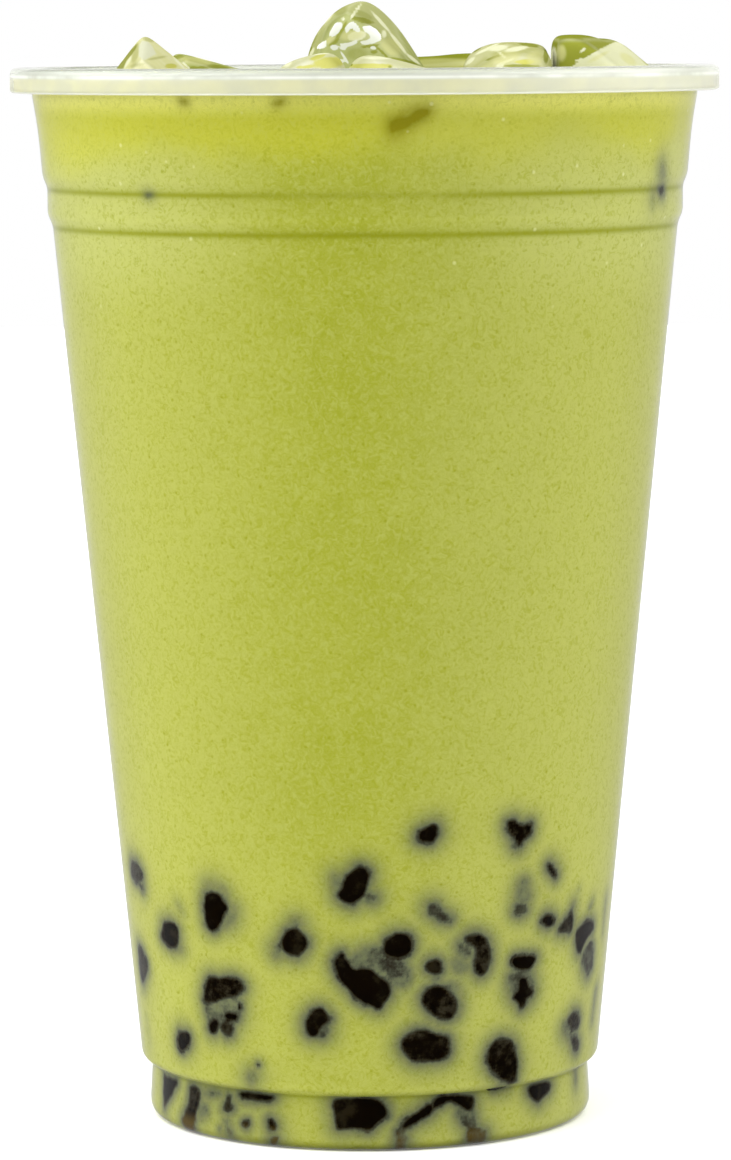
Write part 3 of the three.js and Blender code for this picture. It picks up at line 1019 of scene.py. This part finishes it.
# %% A small language for finishes
class Shade:
    def __init__(self, tree, socket=None):
        self.tree = tree
        self.socket = socket

    def add(self, kind, settings=None, inputs=None, out=0):
        node = self.tree.nodes.new(kind)
        for name, value in (settings or {}).items():
            setattr(node, name, value)
        for key, value in (inputs or {}).items():
            if isinstance(value, Shade):
                self.tree.links.new(value.socket, node.inputs[key])
            else:
                node.inputs[key].default_value = value
        return Shade(self.tree, node.outputs[out])

    def math(self, operation, first, second=0.0):
        return self.add("ShaderNodeMath", {"operation": operation}, {0: first, 1: second})

    def __add__(self, other):
        return self.math("ADD", self, other)

    def __radd__(self, other):
        return self.math("ADD", other, self)

    def __sub__(self, other):
        return self.math("SUBTRACT", self, other)

    def __rsub__(self, other):
        return self.math("SUBTRACT", other, self)

    def __mul__(self, other):
        return self.math("MULTIPLY", self, other)

    def __rmul__(self, other):
        return self.math("MULTIPLY", other, self)

    def __truediv__(self, other):
        return self.math("DIVIDE", self, other)

    def __pow__(self, other):
        return self.math("POWER", self, other)

    def exp(self):
        return self.math("EXPONENT", self)

    def between(self, low, high):
        settings = {"interpolation_type": "SMOOTHSTEP"}
        return self.add("ShaderNodeMapRange", settings, {"Value": self, "From Min": low, "From Max": high})

    def blend(self, first, second, factor, kind="MIX"):
        inputs = {"Factor": factor, 6: first, 7: second}
        return self.add("ShaderNodeMix", {"data_type": "RGBA", "blend_type": kind}, inputs, out=2)

    def mix(self, other, factor):
        return self.blend(self, other, factor)

    def attribute(self, name):
        return self.add("ShaderNodeAttribute", {"attribute_name": name}, out="Fac")

    def axis(self, name):
        return self.add("ShaderNodeSeparateXYZ", {}, {0: self}, out=name)

    def line_at(self, middle, width):
        return (((self - middle) / width) ** 2 * -1).exp()


def colour(red, green, blue):
    parts = np.array([red, green, blue]) / 255
    linear = np.where(parts <= 0.04045, parts / 12.92, ((parts + 0.055) / 1.055) ** 2.4)
    return (*(float(part) for part in linear), 1.0)


def new_finish(name, **sockets):
    finish = bpy.data.materials.new(name)
    finish.use_nodes = True
    tree = finish.node_tree
    shader = tree.nodes["Principled BSDF"]
    for socket, value in sockets.items():
        shader.inputs[socket.replace("_", " ")].default_value = value
    return finish, Shade(tree), shader.inputs


def noise_at(shade, place, size, detail=2.0, roughness=0.5, swirl=0.0):
    inputs = {"Vector": place, "Scale": 1 / (size * MM), "Detail": detail, "Roughness": roughness}
    return shade.add("ShaderNodeTexNoise", {}, {**inputs, "Distortion": swirl})


def link(value, socket):
    value.tree.links.new(value.socket, socket)


print(f"a middle grey of 128 is {colour(128, 128, 128)[0]:.3f} in linear light")

# %% [markdown]
# Matcha milk is an opaque yellow-green. It is yellower near the top, where the tea was poured, cloudy on
# a large scale and speckled with tea on a small one. Its sides are painted paler, with a painted sheen at
# the edges, for the light of the side lamps and of the room mirrored in the wall. Under the rim it is
# painted bright against the rim's shadow, and its open top is painted darker, as shade among the ice.
# Over a pearl it turns a cool grey and then dark brown.

# %% The milk's finish
MILK = colour(190, 194, 86)
MILK_DEEP = colour(183, 188, 74)
MILK_SIDE_LIGHT = colour(198, 201, 107)
MILK_EDGE_LIGHT = colour(196, 198, 112)
MILK_RIGHT = colour(206, 209, 140)
MILK_SIDE_BAND_LIGHT = colour(210, 213, 134)
MILK_TOP = colour(214, 214, 76)
MILK_BRIM_LIGHT = colour(254, 252, 148)
MILK_OPEN_SHADE = colour(147, 152, 84)
MILK_EDGE_SHEEN = colour(222, 223, 142)
MILK_LOW = colour(204, 207, 110)
TEA_SPECK = colour(172, 178, 44)
TEA_LEAF = colour(158, 164, 26)
FROTH = colour(204, 208, 116)
BUBBLE = colour(245, 246, 200)
THINNED = colour(216, 219, 170)
ICE_SHADE = colour(146, 140, 10)
CREASE_SHADE = colour(160, 165, 30)
GREY_VEIL = colour(75, 82, 97)
PEARL_DARK = colour(15, 8, 2)
PEARL_TAN = colour(50, 43, 27)
PEARL_BROWN = colour(96, 78, 30)
CLOUD_SIZE, MOTTLING_SIZE = 24, 5
FOOT_WIDTH, WIDENING = 32, 0.09
WALL_BAND = (44.3, 44.9)
LOW_BAND = (22, 62)
PALE_BAND, PALE_END = (112, 124), (135, 138.5)
TOP_BAND, TOP_WAVE = (132, 139), 16
OPEN_BAND = (138, 140)
BRIM_BAND = (139.4, 142.6)
RIGHT_BAND, RIGHT_END = (-2, 13), (26, 40)

milk_finish, shade, inputs = new_finish("matcha milk", Roughness=0.4, Specular_IOR_Level=0.0)
place = shade.add("ShaderNodeTexCoord", out="Object")
east, north, height = (place.axis(name) / MM for name in "XYZ")
aside = shade.math("ABSOLUTE", east) / (FOOT_WIDTH + height * WIDENING)
at_wall = ((east * east + north * north) ** 0.5).between(*WALL_BAND)
clouds = noise_at(shade, place, CLOUD_SIZE, detail=3)
mottling = noise_at(shade, place, MOTTLING_SIZE, detail=4)
body = shade.blend(MILK, MILK_DEEP, (clouds * 0.6 + mottling * 0.4).between(0.38, 0.62))
# Painted light: the sides of the milk are paler and its edges carry a painted sheen.
body = body.mix(MILK_SIDE_LIGHT, aside.between(0.1, 0.75))
body = body.mix(MILK_EDGE_LIGHT, aside.between(0.75, 0.98))
body = body.mix(MILK_EDGE_SHEEN, aside.between(0.88, 1.0) * 0.45)
top_zone = (height + (clouds - 0.5) * TOP_WAVE).between(*TOP_BAND)
pale_zone = height.between(*PALE_BAND) * (1 - height.between(*PALE_END))
# Painted light also makes the sides paler in a band high up.
body = body.mix(MILK_SIDE_BAND_LIGHT, pale_zone * aside.between(0.2, 0.75) * 0.85)
body = body.mix(MILK_TOP, top_zone * 0.8)
body = body.mix(MILK_LOW, (1 - height.between(*LOW_BAND)) * 0.6)
right = east.between(*RIGHT_BAND) * (1 - east.between(*RIGHT_END))
body = body.mix(MILK_RIGHT, right * 0.18)
# Painted shade darkens the open top of the milk among the ice.
body = body.mix(MILK_OPEN_SHADE, height.between(*OPEN_BAND) * (1 - at_wall))
# Painted light brightens the milk at the wall just under the rim, against the rolled rim's shadow.
body = body.mix(MILK_BRIM_LIGHT, at_wall * height.between(*BRIM_BAND) * (0.6 + 0.4 * aside.between(0.1, 0.6)))
print("milk with a cloudy body, pale sides and a bright brim")

# %% [markdown]
# Tea powder never dissolves. Its finest part shows as grain and short strokes, with froth between them,
# and a few specks are large enough to see one by one. A Voronoi texture strews those. Near the top the
# milk is calmer.

# %% Specks of tea
CALM_BAND = (133, 138)
GRAIN_SIZE, STROKE_SIZE = 0.7, 0.9
LEAF_GAP, LEAF_SIZE = 1.5, (0.12, 0.3)

rough = 1 - 0.5 * height.between(*CALM_BAND)
grain = noise_at(shade, place, GRAIN_SIZE, detail=2)
strokes = noise_at(shade, place, STROKE_SIZE, detail=4, roughness=0.65, swirl=1.5)
body = body.mix(TEA_SPECK, grain.between(0.5, 0.8) * 0.3 * rough)
body = body.mix(TEA_SPECK, (1 - strokes).between(0.48, 0.66) * 0.5 * rough)
body = body.mix(FROTH, strokes.between(0.48, 0.66) * 0.5 * rough)
leaves = shade.add("ShaderNodeTexVoronoi", {}, {"Vector": place, "Scale": 1 / (LEAF_GAP * MM)})
body = body.mix(TEA_LEAF, (1 - (leaves * LEAF_GAP).between(*LEAF_SIZE)) * 0.45 * rough)
print(f"specks of tea {LEAF_GAP} mm apart")

# %% [markdown]
# Painted shade runs round the corner of each ring as a darker line. Two more lines of painted shade run
# over the foot and along its lower edge. The upper ring's line fades in the middle, in front and behind.

# %% Lines round the milk
LOWER_RING, UPPER_RING, RING_WIDTH = 124.5, 129.7, 0.48
FOOT_LINE, FOOT_LINE_WIDTH = 7.5, 0.4
LOWER_EDGE = (0.6, 1.6)

body = body.mix(CREASE_SHADE, height.line_at(LOWER_RING, RING_WIDTH) * 0.8)
body = body.mix(CREASE_SHADE, height.line_at(UPPER_RING, RING_WIDTH) * (0.3 + 0.5 * aside.between(0.1, 0.5)))
body = body.mix(CREASE_SHADE, height.line_at(FOOT_LINE, FOOT_LINE_WIDTH) * 0.6)
body = body.mix(CREASE_SHADE, 0.55 * (1 - height.between(*LOWER_EDGE)))
print("four darker lines round the milk")

# %% [markdown]
# Over a pearl the milk turns a cool grey, and the bare spot itself is nearly black, or brown near the
# base, where light comes in from below. Noise on the film makes the edge of the spot ragged. Light fades
# through milk by the same share in each millimetre, so the grey is an exponential of the film.

# %% Pearls in the milk
RAGGED_SIZE, LUMPY_SIZE = 1.3, 3.5
GREY_FADE = -1.18
BROWN_BAND = (1.5, 3.5)

film = shade.attribute("pearl_film")
ragged = noise_at(shade, place, RAGGED_SIZE, detail=5, roughness=0.65) - 0.5
lumpy = noise_at(shade, place, LUMPY_SIZE, detail=2) - 0.5
blotchy = film.between(0.1, 0.25) * (1 - film.between(0.5, 1.2))
near_pearl = 1 - film.between(0.3, 1.2)
film = film + (ragged * 0.24 + lumpy * 0.14) * near_pearl + (lumpy * 0.5 + ragged * 0.25) * blotchy
veil = (shade.math("MAXIMUM", film, 0.0) * GREY_FADE).exp() * 0.97
body = body.mix(GREY_VEIL, veil)
mottled = shade.math("MAXIMUM", film.between(0.0, 0.07), (ragged + lumpy).between(-0.02, 0.28) * 0.65)
dark = shade.blend(PEARL_DARK, PEARL_TAN, mottled)
dark = shade.blend(PEARL_BROWN, dark, height.between(*BROWN_BAND))
body = body.mix(dark, 1 - film.between(0.02, 0.27))
print("milk grey over the pearls")

# %% [markdown]
# Sunk ice shows as an olive shadow, and the milk is paler next to the floating ice. A few fine bubbles
# cling to the wall near the top. They are too small for meshes, so a Voronoi texture strews dots, and its
# random colour leaves most of them out.

# %% Ice and bubbles in the milk
SHADE_FADE, THIN_FADE = -3.0, -0.9
BUBBLE_GAP, BUBBLE_SIZE = 3.2, 0.12
BUBBLE_BAND = (105, 124)

chip = shade.math("MAXIMUM", shade.attribute("chip_film") + ragged * 0.3, 0.0)
body = body.mix(ICE_SHADE, (chip * SHADE_FADE).exp() * 0.9)
body = body.mix(THINNED, (shade.attribute("from_ice") * THIN_FADE).exp() * (0.15 + 0.85 * at_wall))
cells = shade.add("ShaderNodeTexVoronoi", {}, {"Vector": place, "Scale": 1 / (BUBBLE_GAP * MM)})
cell_colour = Shade(shade.tree, cells.socket.node.outputs["Color"])
kept = shade.add("ShaderNodeSeparateColor", {}, {0: cell_colour}).between(0.55, 0.6)
bubble = (1 - (cells / BUBBLE_SIZE).between(0.3, 1.0)) * height.between(*BUBBLE_BAND) * kept
body = body.mix(BUBBLE, bubble * 0.45)
link(body, inputs["Base Color"])
milk.data.materials.append(milk_finish)
print("matcha milk finish made")

# %% [markdown]
# The cup is clear plastic: almost all light goes through, and what doesn't is a mirror image that grows
# at grazing angles. Principled with full transmission does that, with the index of refraction of the
# plastic. The rolled rim holds so much light in its folds that it looks milky, so its faces mix a milky
# finish into the clear one, which paints that light, with painted highlights along the folds.

# %% The cup's finish
RIM_WHITE = colour(188, 192, 178)
RIM_CREAM = colour(217, 215, 174)
RIM_HIGHLIGHT = colour(214, 216, 207)
RIM_RIGHT_LIGHT = colour(232, 233, 220)
CLEAR = {"Base_Color": (0.97, 0.98, 0.955, 1), "Roughness": 0.03, "IOR": 1.5, "Transmission_Weight": 1.0}
LOWER_FOLD, LOWER_FOLD_WIDTH = 0.1, 0.14
UPPER_FOLD, UPPER_FOLD_WIDTH = 2.3, 0.25
UNEVEN_SIZE, STAIN_SIZE = 9, 5
CREAM_END = (1.8, 2.3)
RIM_RIGHT_LIGHT_BAND = (5, 40)
RIM_START, RIM_END = (-0.1, 0.02), (2.9, 3.4)

plastic_finish, _, _ = new_finish("clear plastic", **CLEAR)
rim_finish, shade, _ = new_finish("rim plastic", **CLEAR)
place = shade.add("ShaderNodeTexCoord", out="Object")
east = place.axis("X") / MM
up_rim = place.axis("Z") / MM - curl_floor
uneven = noise_at(shade, place, UNEVEN_SIZE, detail=4)
# Painted highlights run along the lower and the upper fold.
lower_highlight = up_rim.line_at(LOWER_FOLD, LOWER_FOLD_WIDTH)
upper_highlight = up_rim.line_at(UPPER_FOLD, UPPER_FOLD_WIDTH) * uneven.between(0.3, 0.6)
cream_zone = 1 - up_rim.between(*CREAM_END)
stain = noise_at(shade, place, STAIN_SIZE, detail=4).between(0.3, 0.7) * cream_zone
rim_tint = shade.blend(RIM_WHITE, RIM_CREAM, stain * 0.5 + 0.5 * cream_zone)
rim_highlights = shade.math("MAXIMUM", lower_highlight, upper_highlight)
rim_tint = rim_tint.mix(RIM_HIGHLIGHT, rim_highlights)
# Painted light makes the rim whiter towards the right.
rim_tint = rim_tint.mix(RIM_RIGHT_LIGHT, east.between(*RIM_RIGHT_LIGHT_BAND) * 0.45)
milky = shade.add("ShaderNodeBsdfPrincipled", {}, {"Base Color": rim_tint, "Roughness": 0.25})
clear = Shade(shade.tree, shade.tree.nodes["Principled BSDF"].outputs[0])
rim = up_rim.between(*RIM_START) * (0.55 + 0.25 * rim_highlights) * (1 - 0.45 * up_rim.between(*RIM_END))
surface = shade.add("ShaderNodeMixShader", {}, {0: rim, 1: clear, 2: milky})
link(surface, shade.tree.nodes["Material Output"].inputs["Surface"])
print("clear plastic and rim plastic made")

# %% [markdown]
# A mesh can hold several finishes, and each face has the number of the one it wears. The wall wears the
# first, and every face that reaches up to the rim wears the second.

# %% Give the rim its finish
cup.data.materials.append(plastic_finish)
cup.data.materials.append(rim_finish)
cup_heights = np.array([vertex.co.z for vertex in cup.data.vertices]) / MM
for face in cup.data.polygons:
    face.material_index = int(cup_heights[list(face.vertices)].max() > curl_floor + RIM_START[0])
on_rim = sum(face.material_index for face in cup.data.polygons)
print(f"{on_rim} of {len(cup.data.polygons)} faces are on the rim")

# %% [markdown]
# Melting ice in milk is only partly clear. A film of milk clings to it and settles in streaks, broken
# corners are white with fine cracks, and here and there a clear window shows the bright room behind. A
# glass finish would show milk through every piece and take long to render. So the finish is a milky skin
# whose tint follows the marks, with painted highlights and painted shade, and a window is painted as pale
# as the room. The kinds differ in tint.

# %% Tints of the ice
ICE_ROOM_LIGHT = colour(223, 225, 222)
ICE_FACET_HIGHLIGHT = colour(228, 228, 228)
ICE_CREAM = colour(208, 206, 150)
ICE_HIGHLIGHT = colour(222, 222, 198)
ICE_SHADOW = colour(138, 143, 46)
ICE_YELLOW = colour(200, 197, 90)
LAMP_FACING_SHADE = (0.52, 0.53, 0.4, 1)
# Dark marks and shade are painted shade; pale marks and the white facet are painted highlights.
RAGGED_MARKS = {"yellow": (ICE_YELLOW, 0.8), "dark": (ICE_SHADOW, 0.8), "pale": (ICE_HIGHLIGHT, 0.9)}
SOFT_MARKS = {"shade": (ICE_SHADOW, 0.4), "cream": (ICE_CREAM, 0.6), "facet_highlight": (ICE_FACET_HIGHLIGHT, 0.8)}
ICE_KINDS = {
    "window ice": (colour(172, 177, 122), colour(188, 190, 144)),
    "milky ice": (colour(188, 188, 138), colour(204, 203, 170)),
    "pale ice": (colour(225, 222, 184), colour(230, 227, 196)),
    "creamy ice": (colour(212, 211, 184), colour(220, 219, 206)),
    "olive ice": (colour(144, 149, 58), colour(156, 160, 78)),
    "dull ice": (colour(172, 177, 114), colour(184, 187, 134)),
}
KIND_OF = {
    "ice_left": "pale ice",
    "ice_middle": "window ice",
    "ice_front": "creamy ice",
    "ice_front_left": "creamy ice",
    "ice_right": "olive ice",
    "ice_left_low": "dull ice",
    "ice_back": "olive ice",
}
print(f"{len(ICE_KINDS)} kinds of ice")

# %% [markdown]
# Each kind gets the same layers: slanted streaks, a painted highlight on the edges, the marks with ragged
# or soft borders, and last a painted shade that multiplies the tint where a face looks toward the lamps,
# and the windows, painted as pale as the bright room. Bump gives a fine ripple.

# %% The ice's finishes
STREAK_SIZE = 3.2
SLANTED = {"Rotation": (0, 0.6, 0), "Scale": (1, 1, 0.4)}
CRACK_SIZE = 0.9
RIPPLE = {"Strength": 0.25, "Distance": 0.0006}

ice_finishes = {}
for kind, (deep, pale) in ICE_KINDS.items():
    finish, shade, inputs = new_finish(kind, Roughness=0.15, Specular_IOR_Level=0.0)
    place = shade.add("ShaderNodeTexCoord", out="Object")
    slanted = shade.add("ShaderNodeMapping", {}, {0: place, **SLANTED})
    streaks = noise_at(shade, slanted, STREAK_SIZE, detail=4)
    broken = shade.attribute("chipped").between(0.4, 0.7)
    skin = shade.blend(deep, pale, shade.math("MAXIMUM", streaks.between(0.45, 0.7), broken))
    # A painted highlight runs along the ridges of the ice.
    skin = skin.mix(ICE_HIGHLIGHT, shade.attribute("ridge").between(0.6, 1.0) * 0.3)
    ragged = noise_at(shade, place, CRACK_SIZE, detail=3) - 0.5
    for mark, (tint, strength) in RAGGED_MARKS.items():
        skin = skin.mix(tint, (shade.attribute(mark) + ragged).between(0.2, 0.8) * strength)
    for mark, (tint, strength) in SOFT_MARKS.items():
        skin = skin.mix(tint, shade.attribute(mark).between(0, 1) * strength)
    # Painted shade: the faces that look toward the lamps are darkened.
    lamp_facing = shade.attribute("lamp_facing").between(0.15, 0.85) * (1 - 0.25 * shade.attribute("pale"))
    skin = shade.blend(skin, LAMP_FACING_SHADE, lamp_facing, kind="MULTIPLY")
    # Windows are painted as pale as the bright room behind.
    skin = skin.mix(ICE_ROOM_LIGHT, (shade.attribute("window") + ragged * 0.8).between(0.3, 0.7) * 0.97)
    link(skin, inputs["Base Color"])
    link(shade.add("ShaderNodeBump", {}, {**RIPPLE, "Height": streaks}), inputs["Normal"])
    ice_finishes[kind] = finish
for node, piece in ice_pieces.items():
    piece.data.materials.append(ice_finishes[KIND_OF.get(node, "milky ice")])
sunk_ice.data.materials.append(ice_finishes["dull ice"])
print(f"{len(ice_finishes)} ice finishes made")

# %% [markdown]
# Cooked tapioca is nearly black, with a brown glow where it is thin, and glossy from its syrup. The pearls
# lie inside the opaque milk, so this finish only shows when the milk is taken away.

# %% The pearls' finish
TAPIOCA = colour(18, 12, 6)
TAPIOCA_THIN = colour(52, 36, 18)
TAPIOCA_CLOUD = 5

pearl_finish, shade, inputs = new_finish("tapioca", Roughness=0.22, Specular_IOR_Level=0.3)
place = shade.add("ShaderNodeTexCoord", out="Object")
brown = noise_at(shade, place, TAPIOCA_CLOUD, detail=2).between(0.4, 0.75)
link(shade.blend(TAPIOCA, TAPIOCA_THIN, brown), inputs["Base Color"])
pearls.data.materials.append(pearl_finish)
print("tapioca finish made")

# %% [markdown]
# The light is a bright white room: whitest behind and above, strong from the left and right, and dark
# behind the camera, which keeps the pearls black through the shiny wall. One world shader does it, with
# no lamps, so the light also passes cleanly through the plastic. What lies below the horizon only shows
# as a mirror image in the wall, and the camera itself sees plain white behind the cup.

# %% The room's light
LAMP_SIDE, LAMP_FRONT, LAMP_UP = 0.8, 0.15, 0.58
LAMP_SPREAD = (0.55, 0.95)
LEFT_POWER, RIGHT_POWER, BACKDROP_POWER, CEILING_POWER = 3.5, 2.6, 0.65, 0.5
ROOM_POWER, DARKEST = 0.35, 0.012
HORIZON = (-0.03, 0.05)

scene.view_settings.view_transform = "Standard"
world = bpy.data.worlds.new("white room")
world.use_nodes = True
scene.world = world
sky = Shade(world.node_tree)
way = sky.add("ShaderNodeTexCoord", out="Generated")
across, ahead, above = (way.axis(name) for name in "XYZ")
lamp_height = above * LAMP_UP - ahead * LAMP_FRONT
lamp_left = (lamp_height - across * LAMP_SIDE).between(*LAMP_SPREAD)
lamp_right = (lamp_height + across * LAMP_SIDE).between(*LAMP_SPREAD)
backdrop = ahead.between(0.75, 0.95)
overhead = ROOM_POWER + lamp_left * LEFT_POWER + lamp_right * RIGHT_POWER
overhead = overhead + backdrop * BACKDROP_POWER + above.between(0.5, 1.0) * CEILING_POWER
mirrored = DARKEST + ahead.between(-0.2, 0.6) * 0.3
mirrored = mirrored + ahead.between(0.5, 0.95) * 0.1 + ahead.between(0.84, 1.0) * 0.22
light = mirrored + (overhead - mirrored) * above.between(*HORIZON)
seen = sky.add("ShaderNodeLightPath", out="Is Camera Ray")
light = light + (1 - light) * seen
background = world.node_tree.nodes["Background"]
background.inputs["Color"].default_value = (1, 1, 1, 1)
link(light, background.inputs["Strength"])
print("white room made")

# %% [markdown]
# The floor is a plain pale sheet that catches the soft shadow under the foot. It is hidden from mirror
# images, so that the wall mirrors the room alone.

# %% The floor
FLOOR_SIZE = 4000
half = FLOOR_SIZE / 2
corners = [(-half, -half, 0), (half, -half, 0), (half, half, 0), (-half, half, 0)]
floor = new_piece("floor", corners, [(0, 1, 2, 3)])
floor_finish, _, _ = new_finish("pale floor", Base_Color=(0.95, 0.95, 0.95, 1), Roughness=0.6)
floor.data.materials.append(floor_finish)
floor.visible_glossy = False
print("floor made")

# %% [markdown]
# Last, the solids of the frame that the pieces stand for are hidden, and each piece is tied to the body
# that carries it.

# %% Tie the pieces to the frame
for node, piece in ice_pieces.items():
    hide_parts(node)
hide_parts("cup")
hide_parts("drink")
for piece in (cup, milk, pearls, sunk_ice, *ice_pieces.values()):
    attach(piece, "root")
